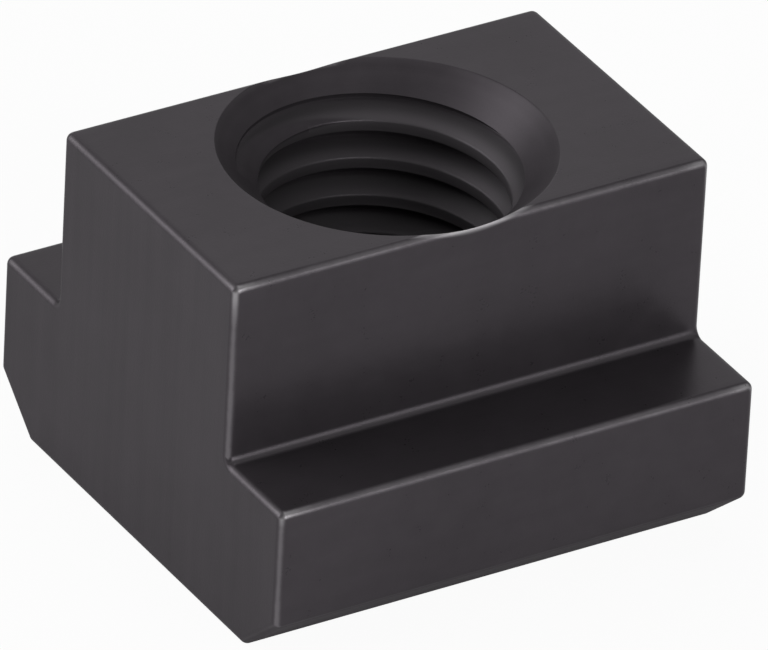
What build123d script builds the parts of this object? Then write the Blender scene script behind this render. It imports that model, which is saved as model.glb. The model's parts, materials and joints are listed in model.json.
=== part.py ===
from build123d import *

import math
import os

# T-slot nut for M12 studs in 14 mm T slots: one steel block with a T section, tapped from top to base.
# Millimetres. The origin is on the thread's axis at the underside, +X runs along the slot, +Y across it.

# T section
length = 22.0  # along the slot
base_width = 22.0  # the part that the slot's lips hold down
base_height = 7.5
neck_width = 13.5  # stands between the lips of a 14 mm slot
total_height = 15.6

# Edges
base_chamfer_width = 2.5  # clears the corners at the bottom of the slot
base_chamfer_height = 2.2
root_radius = 0.35  # where the neck meets the base
edge_radius = 0.35  # every outside edge is broken by this much

# Hole, at the size that is drilled before tapping: the thread's own grooves are left off
tapping_diameter = 10.2  # for M12 x 1.75
countersink_angle = 90.0  # between opposite sides of the cone
top_countersink_diameter = 13.8  # wider than the neck, so it breaks through both of its long edges
base_countersink_diameter = 12.6


def t_section():
    """The block's section across the slot, with its corners and roots rounded."""
    half_base = base_width / 2
    half_neck = neck_width / 2
    right_side = [
        (half_base - base_chamfer_width, 0, edge_radius),
        (half_base, base_chamfer_height, edge_radius),
        (half_base, base_height, edge_radius),
        (half_neck, base_height, root_radius),
        (half_neck, total_height, edge_radius),
    ]
    left_side = [(-y, z, radius) for y, z, radius in reversed(right_side)]
    corners = right_side + left_side
    with BuildSketch(Plane.YZ) as section:
        with BuildLine():
            FilletPolyline(
                *[(y, z) for y, z, _ in corners],
                radius=[radius for _, _, radius in corners],
                close=True,
            )
        make_face()
    return section.sketch


def block():
    """The section run along the slot, with the edges of both sawn ends broken."""
    blank = extrude(t_section(), amount=length / 2, both=True)
    ends = blank.faces().filter_by(Axis.X)
    return fillet(ends.edges(), edge_radius)


def countersink_depth(diameter):
    """How far a countersink of this diameter goes in before it meets the drilled wall."""
    return (diameter - tapping_diameter) / 2 / math.tan(math.radians(countersink_angle / 2))


def hole():
    """The drilled hole with a countersink at each mouth, turned from its half profile."""
    drill_radius = tapping_diameter / 2
    base_depth = countersink_depth(base_countersink_diameter)
    top_depth = countersink_depth(top_countersink_diameter)
    with BuildSketch(Plane.XZ) as profile:
        with BuildLine():
            Polyline(
                (0, 0),
                (base_countersink_diameter / 2, 0),
                (drill_radius, base_depth),
                (drill_radius, total_height - top_depth),
                (top_countersink_diameter / 2, total_height),
                (0, total_height),
                close=True,
            )
        make_face()
    return revolve(profile.sketch, axis=Axis.Z)


nut_body = block() - hole()
nut_body.label = "nut_body"

os.makedirs("parts", exist_ok=True)
export_step(nut_body, "parts/nut_body.step")
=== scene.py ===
import json
import math

import bmesh
import bpy
from mathutils import Matrix, Vector


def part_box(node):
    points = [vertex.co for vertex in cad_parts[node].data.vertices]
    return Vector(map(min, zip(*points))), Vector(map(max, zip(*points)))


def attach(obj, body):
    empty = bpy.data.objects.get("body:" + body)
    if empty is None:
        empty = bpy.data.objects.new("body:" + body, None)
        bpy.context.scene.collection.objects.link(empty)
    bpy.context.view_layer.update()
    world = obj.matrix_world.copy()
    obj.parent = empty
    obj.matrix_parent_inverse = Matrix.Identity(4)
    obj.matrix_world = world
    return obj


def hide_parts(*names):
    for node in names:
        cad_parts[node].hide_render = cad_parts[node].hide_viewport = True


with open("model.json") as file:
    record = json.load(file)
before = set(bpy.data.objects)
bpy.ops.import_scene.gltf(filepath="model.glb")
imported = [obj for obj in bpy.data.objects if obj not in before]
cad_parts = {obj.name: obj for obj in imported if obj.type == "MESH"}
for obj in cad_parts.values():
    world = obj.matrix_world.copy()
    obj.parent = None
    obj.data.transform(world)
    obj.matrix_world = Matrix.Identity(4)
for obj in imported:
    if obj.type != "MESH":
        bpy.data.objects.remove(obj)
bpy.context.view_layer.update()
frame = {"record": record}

# ---------------------------------------------------------------- sizes, in millimetres, in the CAD's frame
MM = 0.001  # metres in a millimetre
NODE = "nut_body"
NODE_LOW, NODE_HIGH = [Vector(corner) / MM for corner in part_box(NODE)]
MOUNTS = {mount["name"]: mount for mount in frame["record"]["mounts"]}

LENGTH = NODE_HIGH.x - NODE_LOW.x
BASE_WIDTH = NODE_HIGH.y - NODE_LOW.y
TOTAL_HEIGHT = NODE_HIGH.z - NODE_LOW.z
BASE_HEIGHT = MOUNTS["shoulder_front"]["pos_m"][2] / MM
NECK_WIDTH = 13.5
BASE_CHAMFER_WIDTH = 2.5
BASE_CHAMFER_HEIGHT = 2.2
ROOT_RADIUS = 0.35
EDGE_RADIUS = 0.35

TAP_RADIUS = MOUNTS["thread"]["dims"]["r_mm"]
THREAD_RADIUS = 6.0  # M12's major radius
THREAD_PITCH = 1.75
THREAD_TURN = math.radians(-5)  # the direction in which a groove's middle crosses the base's plane
TOP_SINK_RADIUS = 6.9
BASE_SINK_RADIUS = 6.3

# ---------------------------------------------------------------- finish
SKIN_COLOUR = (0.0648, 0.0578, 0.0648)
SKIN_METALLIC = 0.55
SKIN_ROUGHNESS = 0.3
SKIN_TINT = 0.6  # of the metal's reflection at a grazing angle
SKIN_SPECULAR = 0.2  # of the oxide over it
EDGE_WEAR_AND_ROOT_HIGHLIGHT_COLOUR = (0.173, 0.161, 0.173)  # along worn edges, and as a painted highlight along the roots
CORNER_AND_RIM_WEAR_AND_HIGHLIGHT_COLOUR = (0.42, 0.405, 0.42)  # as wear and a painted glint at corners, and as wear and a painted highlight at the top countersink's rim
THREAD_RIDGE_PAINTED_LIGHT_COLOUR = (0.095, 0.0875, 0.095)  # painted light on the thread's ridges
GROOVE_PAINTED_SHADE_COLOUR = (0.05, 0.046, 0.05)  # painted shade in its grooves near the top
DEEP_GROOVE_PAINTED_LIGHT_COLOUR = (0.17, 0.16, 0.17)  # and painted light in them low in the hole
RIM_WEAR_AND_HIGHLIGHT_REACH = 0.3  # of the wear and painted highlight, from the top countersink's rim
CORNER_REACH = 0.95  # how far wear and a painted glint spread from a corner
TIP_REACH = 0.3  # and how far round the corner's tip it is weaker
TIP_LOSS = 0.6  # of the wear and painted glint, at the very tip
ROOT_HIGHLIGHT_SHARE = 0.33  # the roots' painted highlight, as a share of an edge's wear
DRAWN_LINES = 0.10  # how much the long faces' fine lines change the shade
SAWN_LINES = 0.34  # and the ends' ones
TURNED_RINGS = 0.2  # and how much more the lines show in the countersinks
LINE_DEPTH = 0.006  # of the bumps that the fine lines and the grain make

# ---------------------------------------------------------------- mesh fineness
ARC_STEPS = 8  # along a quarter round
FLARE_STEPS = 4  # along the eighth of a round at a countersink's rim
HOLE_STEPS = 160  # round the hole
WELD_DISTANCE = 1e-4  # points nearer than this become one
SHARP_ANGLE = math.radians(32)  # more than the edges' rounds turn from one face to the next
CORNER_GAPS = (0.3, 0.7, 1.2, 2.0)  # where a straight run's mesh is divided, measured from its ends

MIDDLE_GAP = 1 - math.sqrt(0.5)  # a quarter round's middle inside both of its faces, in radii


# ---------------------------------------------------------------- the body's mesh
def rounded_outline(inset):
    """The T section's outline in (y, z), moved inwards by inset, with every corner an arc.

    The arcs keep their centres and their number of points at any inset, so outlines can be joined
    point by point. At an inset of EDGE_RADIUS the outside corners come to a point."""
    half_base, half_neck = BASE_WIDTH / 2, NECK_WIDTH / 2
    right = [
        (half_base - BASE_CHAMFER_WIDTH, 0, EDGE_RADIUS),
        (half_base, BASE_CHAMFER_HEIGHT, EDGE_RADIUS),
        (half_base, BASE_HEIGHT, EDGE_RADIUS),
        (half_neck, BASE_HEIGHT, -ROOT_RADIUS),
        (half_neck, TOTAL_HEIGHT, EDGE_RADIUS),
    ]
    corners = right + [(-y, z, radius) for y, z, radius in reversed(right)]
    arcs = []
    for i, (y, z, radius) in enumerate(corners):
        corner = Vector((y, z))
        before = (Vector(corners[i - 1][:2]) - corner).normalized()
        after = (Vector(corners[(i + 1) % len(corners)][:2]) - corner).normalized()
        middle = (before + after).normalized()
        half_angle = before.angle(after) / 2
        centre = corner + middle * abs(radius) / math.sin(half_angle)
        turn = math.pi - 2 * half_angle
        steps = max(2, round(ARC_STEPS * turn / (math.pi / 2)))
        reach = abs(radius) - inset if radius > 0 else abs(radius) + inset
        side = 1 if radius > 0 else -1
        swings = [side * turn * (step / steps - 0.5) for step in range(steps + 1)]
        arcs.append([centre + (Matrix.Rotation(swing, 2) @ -middle) * reach for swing in swings])
    points = []
    for i, arc in enumerate(arcs):
        start, end = arc[-1], arcs[(i + 1) % len(arcs)][0]
        run = (end - start).length
        shares = [gap / run for gap in CORNER_GAPS if gap < run / 2]
        points += arc
        points += [start.lerp(end, share) for share in shares]
        points += [start.lerp(end, 1 - share) for share in reversed(shares)]
    return points


def mesh_object(name, build):
    """A new object in the scene, with the mesh that build(bm) fills in."""
    bm = bmesh.new()
    build(bm)
    mesh = bpy.data.meshes.new(name)
    bm.to_mesh(mesh)
    bm.free()
    made = bpy.data.objects.new(name, mesh)
    bpy.context.scene.collection.objects.link(made)
    return made


def build_block(bm):
    """The block without its hole: outlines along X, drawn in by the edges' quarter round at both ends."""
    sections = []
    for step in range(ARC_STEPS + 1):
        angle = math.pi / 2 * step / ARC_STEPS
        back = EDGE_RADIUS * (1 - math.cos(angle))
        sections.append((LENGTH / 2 - back, EDGE_RADIUS * (1 - math.sin(angle))))
    straight = LENGTH / 2 - EDGE_RADIUS
    sections += [(straight - gap, 0) for gap in CORNER_GAPS]
    stations = [(-x, inset) for x, inset in sections] + list(reversed(sections))
    rings = [[bm.verts.new((x, *point)) for point in rounded_outline(inset)] for x, inset in stations]
    for near, far in zip(rings, rings[1:]):
        for i in range(len(near)):
            bm.faces.new((near[i - 1], near[i], far[i], far[i - 1]))
    bm.faces.new(rings[0])
    bm.faces.new(reversed(rings[-1]))
    # the ends' outlines have several points in one place at each outside corner
    bmesh.ops.remove_doubles(bm, verts=bm.verts, dist=WELD_DISTANCE)
    bmesh.ops.recalc_face_normals(bm, faces=bm.faces)


def build_turned(profile):
    """A builder for a solid turned about Z from (radius, z) points that start and end on the axis."""

    def build(bm):
        bottom = bm.verts.new((0, 0, profile[0][1]))
        top = bm.verts.new((0, 0, profile[-1][1]))
        rings = []
        for radius, z in profile[1:-1]:
            angles = [2 * math.pi * i / HOLE_STEPS for i in range(HOLE_STEPS)]
            rings.append([bm.verts.new((radius * math.cos(a), radius * math.sin(a), z)) for a in angles])
        for i in range(HOLE_STEPS):
            bm.faces.new((bottom, rings[0][i], rings[0][i - 1]))
            bm.faces.new((top, rings[-1][i - 1], rings[-1][i]))
            for low, high in zip(rings, rings[1:]):
                bm.faces.new((low[i - 1], low[i], high[i], high[i - 1]))
        bmesh.ops.recalc_face_normals(bm, faces=bm.faces)

    return build


def countersink_profile(rim_radius, face_z, outwards):
    """A 90-degree countersink's half profile. outwards is 1 at the top face and -1 at the base.

    It starts on the axis inside the block, runs out along the cone, and flares at the face. Without
    the flare the cone would meet the face at rim_radius."""
    flare = 0.1  # the radius of the round between the cone and the face
    overshoot = 1.0  # past the face
    slope = math.pi / 4
    inner = face_z - outwards * rim_radius
    cone_end = rim_radius - flare * math.tan(slope / 2) * math.cos(slope)
    # the middle point keeps the round's shading in a narrow band of the cone
    points = [(radius, inner + outwards * radius) for radius in (0, cone_end - 2 * flare, cone_end)]
    centre_r = cone_end + flare * math.sin(slope)
    centre_z = face_z - outwards * flare
    for step in range(1, FLARE_STEPS + 1):
        angle = slope * (1 + step / FLARE_STEPS)
        points.append((centre_r - flare * math.cos(angle), centre_z + outwards * flare * math.sin(angle)))
    mouth_radius = points.pop()[0]
    points.append((mouth_radius, face_z))
    points.append((mouth_radius, face_z + outwards * overshoot))
    points.append((0, face_z + outwards * overshoot))
    return points if outwards > 0 else list(reversed(points))


def thread_section():
    """The tap's section through one of the nut's grooves and its flanks, as (height, radius) points."""
    flank_slope = math.tan(math.radians(30))
    depth = THREAD_RADIUS - TAP_RADIUS
    groove_half = THREAD_PITCH / 16
    ridge_start = groove_half + depth * flank_slope
    bow = 0.03  # how far the groove's rounded bottom goes past THREAD_RADIUS
    soft = 0.05  # how far the ridge's corners are rounded
    half = [
        (0, THREAD_RADIUS + bow),
        (groove_half * 0.7, THREAD_RADIUS + 0.02),
        (groove_half + bow * flank_slope, THREAD_RADIUS - bow),
        (ridge_start - soft * flank_slope * 1.2, TAP_RADIUS + soft * 1.2),
        (ridge_start + soft * 0.2, TAP_RADIUS + soft * 0.3),
        (ridge_start + soft * 1.2, TAP_RADIUS),
    ]
    low = [(-height, radius) for height, radius in reversed(half[1:])]
    return low + half


def build_tap(bm):
    """A solid M12 tap: a closed right-hand helix of thread_section(), longer than the hole."""
    section = thread_section()
    spare_turns = 2  # past the base's plane, and about as many past the top
    turns = math.ceil(TOTAL_HEIGHT / THREAD_PITCH) + 2 * spare_turns
    start = -spare_turns * THREAD_PITCH
    rows = []
    for step in range(turns * HOLE_STEPS + 1):
        angle = 2 * math.pi * step / HOLE_STEPS + THREAD_TURN
        rise = start + THREAD_PITCH * step / HOLE_STEPS
        direction = Vector((math.cos(angle), math.sin(angle), 0))
        places = [direction * radius + Vector((0, 0, rise + height)) for height, radius in section]
        rows.append([bm.verts.new(place) for place in places])
    for near, far in zip(rows, rows[1:]):
        for i in range(len(section) - 1):
            bm.faces.new((near[i], far[i], far[i + 1], near[i + 1]))
    # the nut's ridge, from one turn's last point to the next turn's first
    for step in range(len(rows) - HOLE_STEPS - 1):
        low, low_next = rows[step][-1], rows[step + 1][-1]
        high, high_next = rows[step + HOLE_STEPS][0], rows[step + HOLE_STEPS + 1][0]
        bm.faces.new((low, low_next, high_next, high))
    bmesh.ops.holes_fill(bm, edges=[edge for edge in bm.edges if edge.is_boundary], sides=0)
    bmesh.ops.recalc_face_normals(bm, faces=bm.faces)


def cut(target, cutter):
    """Take cutter's solid out of target's mesh for good."""
    modifier = target.modifiers.new("cut", "BOOLEAN")
    modifier.operation = "DIFFERENCE"
    modifier.solver = "EXACT"
    modifier.object = cutter
    apply_modifiers(target)
    bpy.data.objects.remove(cutter)


def apply_modifiers(target):
    """Replace target's mesh by what its modifiers make of it."""
    evaluated = target.evaluated_get(bpy.context.evaluated_depsgraph_get())
    mesh = bpy.data.meshes.new_from_object(evaluated)
    target.modifiers.clear()
    target.data = mesh


def gaps_to_faces(point):
    """How far a point of the block lies inside each of the plain faces round its part of the section."""
    across, height = abs(point.y), point.z
    half_root = ROOT_RADIUS / 2
    gaps = [LENGTH / 2 - abs(point.x)]
    if height > BASE_HEIGHT + half_root:
        gaps += [NECK_WIDTH / 2 - across, TOTAL_HEIGHT - height]
        return gaps
    side_gap = BASE_WIDTH / 2 - across
    into_chamfer = side_gap / BASE_CHAMFER_WIDTH + height / BASE_CHAMFER_HEIGHT - 1
    gaps += [side_gap, height, into_chamfer / math.hypot(1 / BASE_CHAMFER_WIDTH, 1 / BASE_CHAMFER_HEIGHT)]
    if across > NECK_WIDTH / 2 + half_root:
        gaps.append(BASE_HEIGHT - height)
    return gaps


def edge_wear(point):
    """0 on the plain faces and in the hole, 1 along the middle of a rounded edge, and more on a corner."""
    gaps = gaps_to_faces(point)
    reach = math.sqrt(sum(max(0, EDGE_RADIUS - gap) ** 2 for gap in gaps))
    outside = reach >= EDGE_RADIUS * 0.9  # and so not in the hole
    return max(0.0, min(gaps)) / (EDGE_RADIUS * MIDDLE_GAP) if outside else 0.0


def corner_wear_and_glint(point):
    """How worn a point is, with a painted glint, by the nearest of the neck's top corners and the
    shoulders' corners.

    It fades out along the edges and faces that meet there, is weaker at the very tip, and below a
    shoulder's corner it fades steeply."""
    corners = [(NECK_WIDTH / 2, TOTAL_HEIGHT, 1.0), (BASE_WIDTH / 2, BASE_HEIGHT, 2.5)]
    distance = min(
        Vector((LENGTH / 2 - abs(point.x), y - abs(point.y), (z - point.z) * steepness)).length
        for y, z, steepness in corners
    )
    spread = math.exp(-((distance / CORNER_REACH) ** 2))
    at_tip = math.exp(-((distance / TIP_REACH) ** 2))
    return spread * (1 - TIP_LOSS * at_tip)


def root_painted_highlight(point):
    """A painted highlight: 1 along the middle of the inside corners between the neck and the shoulders, 0
    elsewhere.
    """
    across = (abs(point.y) - NECK_WIDTH / 2) / ROOT_RADIUS
    height = (point.z - BASE_HEIGHT) / ROOT_RADIUS
    if not (0 <= across <= 1 and 0 <= height <= 1):
        return 0.0
    return min(across, height) / MIDDLE_GAP


def store_on_points(mesh, name, value_at):
    """Keep value_at(point) on every point of the mesh, for the material to read."""
    attribute = mesh.attributes.new(name, "FLOAT", "POINT")
    attribute.data.foreach_set("value", [value_at(vertex.co) for vertex in mesh.vertices])


def make_body():
    """The nut as one mesh in metres, with its wear, painted glints and painted highlights stored on its
    points.
    """
    body = mesh_object("nut_surface", build_block)
    cut(body, mesh_object("top_sink", build_turned(countersink_profile(TOP_SINK_RADIUS, TOTAL_HEIGHT, 1))))
    cut(body, mesh_object("base_sink", build_turned(countersink_profile(BASE_SINK_RADIUS, 0, -1))))
    cut(body, mesh_object("tap", build_tap))
    store_on_points(body.data, "edge_wear", edge_wear)
    store_on_points(body.data, "corner_wear_and_glint", corner_wear_and_glint)
    store_on_points(body.data, "root_painted_highlight", root_painted_highlight)
    body.data.transform(Matrix.Scale(MM, 4))
    body.data.shade_smooth()
    body.data.set_sharp_from_angle(angle=SHARP_ANGLE)
    weights = body.modifiers.new("weights", "WEIGHTED_NORMAL")
    weights.keep_sharp = True
    weights.weight = 100  # large faces count the most
    return body


body = make_body()


# ---------------------------------------------------------------- material
class Nodes:
    """Short names for adding and joining the nodes of one material."""

    def __init__(self, material):
        material.use_nodes = True
        self.tree = material.node_tree
        self.shader = self.tree.nodes["Principled BSDF"]

    def add(self, kind, inputs=None, **settings):
        node = self.tree.nodes.new(kind)
        for key, value in settings.items():
            setattr(node, key, value)
        for key, value in (inputs or {}).items():
            self.put(value, node.inputs[key])
        return node

    def put(self, value, socket):
        """Link a node's output to the socket, or write a plain value in it."""
        if isinstance(value, bpy.types.NodeSocket):
            self.tree.links.new(value, socket)
        else:
            socket.default_value = value

    def math(self, operation, a, b=0.0, c=0.0, clamp=False):
        node = self.add("ShaderNodeMath", {0: a, 1: b, 2: c}, operation=operation, use_clamp=clamp)
        return node.outputs[0]

    def vector(self, operation, inputs, output="Vector"):
        return self.add("ShaderNodeVectorMath", inputs, operation=operation).outputs[output]

    def varied(self, value, noise, strength):
        """value, made more or less as the noise swings about 0.5."""
        return self.math("MULTIPLY_ADD", self.math("SUBTRACT", noise, 0.5), strength, value)

    def noise(self, place, scale, detail=2.0, roughness=0.5):
        """Noise about 0.5, scale in repeats per metre."""
        inputs = {"Vector": place, "Scale": scale, "Detail": detail, "Roughness": roughness}
        return self.add("ShaderNodeTexNoise", inputs).outputs["Fac"]

    def ramp(self, value, low, high, to_low=0.0, to_high=1.0):
        """value taken smoothly from low..high to to_low..to_high."""
        inputs = {"Value": value, "From Min": low, "From Max": high, "To Min": to_low, "To Max": to_high}
        return self.add("ShaderNodeMapRange", inputs, interpolation_type="SMOOTHSTEP").outputs[0]

    def stretched(self, place, scales):
        """place with each axis scaled. A scale under 1 draws a noise out along its axis."""
        return self.add("ShaderNodeMapping", {"Vector": place, "Scale": scales}).outputs[0]

    def mix(self, share, a, b):
        """a where share is 0, b where it is 1."""
        return self.add("ShaderNodeMix", {0: share, 2: a, 3: b}, data_type="FLOAT").outputs[0]

    def mix_colour(self, share, a, b):
        inputs = {0: share, 6: a, 7: b}
        return self.add("ShaderNodeMix", inputs, data_type="RGBA", clamp_factor=True).outputs[2]

    def attribute(self, name):
        return self.add("ShaderNodeAttribute", attribute_name=name).outputs["Fac"]


def black_oxide():
    """Blackened steel: a dark satin skin, a little cloudy, and worn lighter at the edges.

    The ends are sawn, the long faces drawn, and the countersinks turned. Painted glints lie at the
    corners and painted highlights along the neck's roots and the top countersink's rim. The thread
    has painted light on its ridges and low in the hole, and painted shade in its grooves near the top."""
    material = bpy.data.materials.new("black_oxide_steel")
    nodes = Nodes(material)
    coordinates = nodes.add("ShaderNodeTexCoord")
    place, facing = coordinates.outputs["Object"], coordinates.outputs["Normal"]
    facing_x, _, facing_z = nodes.add("ShaderNodeSeparateXYZ", {0: facing}).outputs
    facing_end = nodes.math("ABSOLUTE", facing_x)
    facing_up_or_down = nodes.math("ABSOLUTE", facing_z)
    on_end = nodes.ramp(facing_end, 0.8, 0.95)
    on_underside = nodes.ramp(facing_z, -0.3, -0.6)

    # where a point is about the hole: its radius and height, and whether it faces away from the axis
    across = nodes.vector("MULTIPLY", {0: place, 1: (1, 1, 0)})
    radius = nodes.vector("LENGTH", {0: across}, "Value")
    height = nodes.add("ShaderNodeSeparateXYZ", {0: place}).outputs[2]
    away = nodes.vector("NORMALIZE", {0: across})
    facing_out = nodes.vector("DOT_PRODUCT", {0: away, 1: facing}, "Value")

    # both cones: from_cone is 0 on the top one and more outside it
    cone_line = (TOP_SINK_RADIUS - TOTAL_HEIGHT) * MM
    from_cone = nodes.math("SUBTRACT", nodes.math("SUBTRACT", radius, height), cone_line)
    from_base_cone = nodes.math("SUBTRACT", nodes.math("ADD", radius, height), BASE_SINK_RADIUS * MM)
    off_top, off_base = nodes.math("ABSOLUTE", from_cone), nodes.math("ABSOLUTE", from_base_cone)
    off_both = nodes.math("MINIMUM", off_top, off_base)
    near_cone = nodes.ramp(off_both, 0.02 * MM, 0.05 * MM, 1, 0)
    on_cone = nodes.math("MULTIPLY", near_cone, nodes.ramp(facing_out, -0.4, -0.6))

    # the thread, between the two cones
    in_thread = nodes.ramp(radius, (THREAD_RADIUS - 0.2) * MM, (THREAD_RADIUS + 0.05) * MM, 1, 0)
    in_thread = nodes.math("MULTIPLY", in_thread, nodes.ramp(height, 0.6 * MM, 1.2 * MM))
    in_thread = nodes.math("MULTIPLY", in_thread, nodes.ramp(from_cone, 0.02 * MM, 0.12 * MM))

    # how the skin varies
    clouds = nodes.noise(place, 160, 3)
    mottle = nodes.noise(place, 900, 4, 0.6)
    grain = nodes.noise(place, 9000, 2)
    saw_lines = nodes.noise(nodes.stretched(place, (1, 1, 0.04)), 1300, 4, 0.65)
    drawn_lines = nodes.noise(nodes.stretched(place, (0.03, 1, 1)), 1800, 3, 0.6)
    turned_rings = nodes.noise(nodes.add("ShaderNodeCombineXYZ", {0: radius}).outputs[0], 3500, 3, 0.6)
    lines = nodes.mix(on_cone, nodes.mix(on_end, drawn_lines, saw_lines), turned_rings)
    lines_strength = nodes.ramp(on_end, 0, 1, DRAWN_LINES, SAWN_LINES)
    lines_strength = nodes.math("MULTIPLY_ADD", on_cone, TURNED_RINGS, lines_strength)
    shade = 1.0
    for noise, strength in ((clouds, 0.25), (mottle, 0.22), (lines, lines_strength)):
        shade = nodes.varied(shade, noise, strength)

    # wear, of which the ends' level edges have little, and the painted glints and highlights that go with
    # it
    breakup = nodes.noise(place, 700, 4, 0.7)
    worn = nodes.math("MULTIPLY", nodes.attribute("edge_wear"), nodes.ramp(breakup, 0.2, 0.8, 0.7, 1.3))
    worn = nodes.ramp(worn, 0.05, 0.85)
    end_rounding = nodes.math("MULTIPLY", facing_end, facing_up_or_down)
    worn = nodes.math("MULTIPLY", worn, nodes.ramp(end_rounding, 0.1, 0.4, 1, 0.1))
    # corners: wear with a painted glint
    corner = nodes.math("MULTIPLY", nodes.attribute("corner_wear_and_glint"), worn)
    # the roots: a painted highlight along the inside corners, not wear
    root = nodes.math("MULTIPLY", nodes.attribute("root_painted_highlight"), ROOT_HIGHLIGHT_SHARE, clamp=True)
    # the edges' wear together with the roots' painted highlight
    wear_and_root_highlight = nodes.math("MAXIMUM", worn, root)
    # the hole's rim is worn, with a painted highlight, where it cuts through the neck's long edges
    rim = nodes.ramp(from_cone, 0, RIM_WEAR_AND_HIGHLIGHT_REACH * MM, 1, 0)
    rim = nodes.math("MULTIPLY", rim, nodes.ramp(facing_out, 0, 0.5))

    # the thread's colours, with painted light and shade, then the wear's and the painted highlights over
    # them
    # painted light on the thread's ridges and in its grooves low in the hole, painted shade in its grooves
    # near the top
    near_top = nodes.ramp(height, TOTAL_HEIGHT * 0.4 * MM, TOTAL_HEIGHT * 0.85 * MM)
    into_groove = nodes.ramp(radius, (TAP_RADIUS + 0.1) * MM, (TAP_RADIUS + 0.65) * MM)
    groove = nodes.mix_colour(near_top, (*DEEP_GROOVE_PAINTED_LIGHT_COLOUR, 1), (*GROOVE_PAINTED_SHADE_COLOUR, 1))
    thread = nodes.mix_colour(into_groove, (*THREAD_RIDGE_PAINTED_LIGHT_COLOUR, 1), groove)
    colour = nodes.vector("SCALE", {0: SKIN_COLOUR, 3: shade})
    colour = nodes.mix_colour(in_thread, colour, thread)
    colour = nodes.mix_colour(wear_and_root_highlight, colour, (*EDGE_WEAR_AND_ROOT_HIGHLIGHT_COLOUR, 1))
    colour = nodes.mix_colour(corner, colour, (*CORNER_AND_RIM_WEAR_AND_HIGHLIGHT_COLOUR, 1))
    colour = nodes.mix_colour(rim, colour, (*CORNER_AND_RIM_WEAR_AND_HIGHLIGHT_COLOUR, 1))
    nodes.put(colour, nodes.shader.inputs["Base Color"])

    roughness = nodes.varied(SKIN_ROUGHNESS, mottle, 0.12)
    roughness = nodes.varied(roughness, grain, 0.06)
    for where, rougher in ((on_end, 0.05), (in_thread, 0.2), (on_cone, 0.12), (on_underside, 0.3)):
        roughness = nodes.math("MULTIPLY_ADD", where, rougher, roughness)
    nodes.put(roughness, nodes.shader.inputs["Roughness"])
    nodes.shader.inputs["Metallic"].default_value = SKIN_METALLIC
    nodes.shader.inputs["Specular Tint"].default_value = (SKIN_TINT, SKIN_TINT, SKIN_TINT, 1)
    nodes.shader.inputs["Specular IOR Level"].default_value = SKIN_SPECULAR

    heights = nodes.math("MULTIPLY_ADD", lines, lines_strength, nodes.math("MULTIPLY", grain, 0.5))
    bump = nodes.add("ShaderNodeBump", {"Height": heights, "Distance": LINE_DEPTH * MM, "Strength": 1.0})
    nodes.put(bump.outputs[0], nodes.shader.inputs["Normal"])
    return material


body.data.materials.clear()
body.data.materials.append(black_oxide())
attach(body, "root")
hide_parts(NODE)


# ---------------------------------------------------------------- floor, light and camera
FLOOR_COLOUR = (0.85, 0.85, 0.855)
FLOOR_HALF_WIDTH = 3.0  # metres
FLOOR_DROP = 0.00002  # metres, so that the floor and the nut's base don't lie in one plane
FLOOR_GLOW_SEEN = 0.95  # how much of the floor is plain white to the camera
FLOOR_GLOW_REFLECTED = 0.2  # and in reflections, where it keeps more of the shadow
WORLD_LIGHT = 0.25  # the strength of the even white light

SOFTBOXES = [  # name, direction from the nut, distance and size in metres, radiance
    ("left_high", (-0.62, 0.5, 0.6), 0.8, 0.75, 0.74),
    ("left_low", (-0.85, 0.5, 0.3), 0.8, 0.6, 2.7),
    ("front_low", (0.1, -1.0, 0.3), 0.8, 0.6, 2.7),
    ("back", (0.4, 0.8, 0.45), 0.9, 0.8, 0.63),
    ("overhead", (0.1, 0.05, 1.0), 0.8, 0.5, 0.6),
]


def pale_floor():
    """A pale, dull surface that is mostly plain white to the camera and partly so in reflections."""
    material = bpy.data.materials.new("pale_floor")
    nodes = Nodes(material)
    nodes.shader.inputs["Base Color"].default_value = (*FLOOR_COLOUR, 1)
    nodes.shader.inputs["Roughness"].default_value = 0.9
    path = nodes.add("ShaderNodeLightPath").outputs
    share = nodes.math("MULTIPLY", path["Is Camera Ray"], FLOOR_GLOW_SEEN)
    mirrored = nodes.math("ADD", path["Is Glossy Ray"], path["Is Transmission Ray"], clamp=True)
    share = nodes.math("MULTIPLY_ADD", mirrored, FLOOR_GLOW_REFLECTED, share, clamp=True)
    white = nodes.add("ShaderNodeEmission", {"Strength": 1.0}).outputs[0]
    mix = nodes.add("ShaderNodeMixShader", {0: share, 1: nodes.shader.outputs[0], 2: white}).outputs[0]
    nodes.put(mix, nodes.tree.nodes["Material Output"].inputs["Surface"])
    return material


def make_floor():
    """A wide floor just under the nut."""

    def build(bm):
        signs = [(-1, -1), (1, -1), (1, 1), (-1, 1)]
        corners = [(x * FLOOR_HALF_WIDTH, y * FLOOR_HALF_WIDTH, -FLOOR_DROP) for x, y in signs]
        bm.faces.new([bm.verts.new(corner) for corner in corners])

    floor = mesh_object("floor", build)
    floor.data.materials.append(pale_floor())


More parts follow.
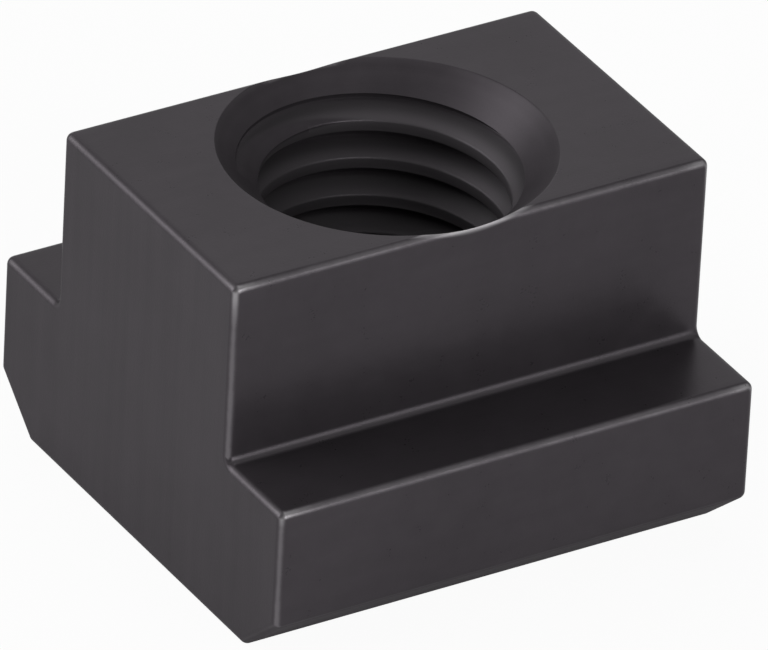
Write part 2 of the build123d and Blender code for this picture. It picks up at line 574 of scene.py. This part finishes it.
def make_world():
    """White to the camera, and a weak even light to everything else."""
    world = bpy.data.worlds.new("studio")
    world.use_nodes = True
    bpy.context.scene.world = world
    background = world.node_tree.nodes["Background"]
    background.inputs["Color"].default_value = (1, 1, 1, 1)
    path = world.node_tree.nodes.new("ShaderNodeLightPath").outputs
    strength = world.node_tree.nodes.new("ShaderNodeMath")
    strength.operation = "MULTIPLY_ADD"
    strength.inputs[1].default_value = 1 - WORLD_LIGHT
    strength.inputs[2].default_value = WORLD_LIGHT
    world.node_tree.links.new(path["Is Camera Ray"], strength.inputs[0])
    world.node_tree.links.new(strength.outputs[0], background.inputs["Strength"])


def make_softbox(name, direction, distance, size, radiance):
    """A square lamp that stands in that direction from the nut and faces it."""
    lamp = bpy.data.lights.new(name, "AREA")
    lamp.shape = "SQUARE"
    lamp.size = size
    lamp.energy = radiance * math.pi * size**2
    made = bpy.data.objects.new(name, lamp)
    made.location = Vector(direction).normalized() * distance
    made.rotation_euler = (-made.location).to_track_quat("-Z", "Y").to_euler()
    bpy.context.scene.collection.objects.link(made)


def make_camera():
    """A long lens that looks down at the nut from the front left, slightly rolled, as in the photo."""
    azimuth, elevation, roll = math.radians(-32.42), math.radians(31.53), math.radians(3.06)
    distance = 0.613  # metres
    right_offset, up_offset = 0.00022, -0.00051
    sensor_width, focal_in_widths = 36, 19.91
    level = math.cos(elevation)
    back = Vector((math.sin(azimuth) * level, -math.cos(azimuth) * level, math.sin(elevation)))
    right = Vector((0, 0, 1)).cross(back).normalized()
    up = back.cross(right)
    rolled_right = right * math.cos(roll) + up * math.sin(roll)
    rolled_up = up * math.cos(roll) - right * math.sin(roll)
    centre = Vector((0, 0, TOTAL_HEIGHT / 2 * MM))
    camera_data = bpy.data.cameras.new("camera")
    camera_data.sensor_width = sensor_width
    camera_data.lens = sensor_width * focal_in_widths
    camera_data.clip_start = 0.01
    camera = bpy.data.objects.new("camera", camera_data)
    place = centre + rolled_right * right_offset + rolled_up * up_offset + back * distance
    rotation = Matrix((rolled_right, rolled_up, back)).transposed().to_4x4()
    camera.matrix_world = Matrix.Translation(place) @ rotation
    bpy.context.scene.collection.objects.link(camera)
    bpy.context.scene.camera = camera


make_floor()
make_world()
for softbox in SOFTBOXES:
    make_softbox(*softbox)
make_camera()
bpy.context.scene.view_settings.view_transform = "Standard"
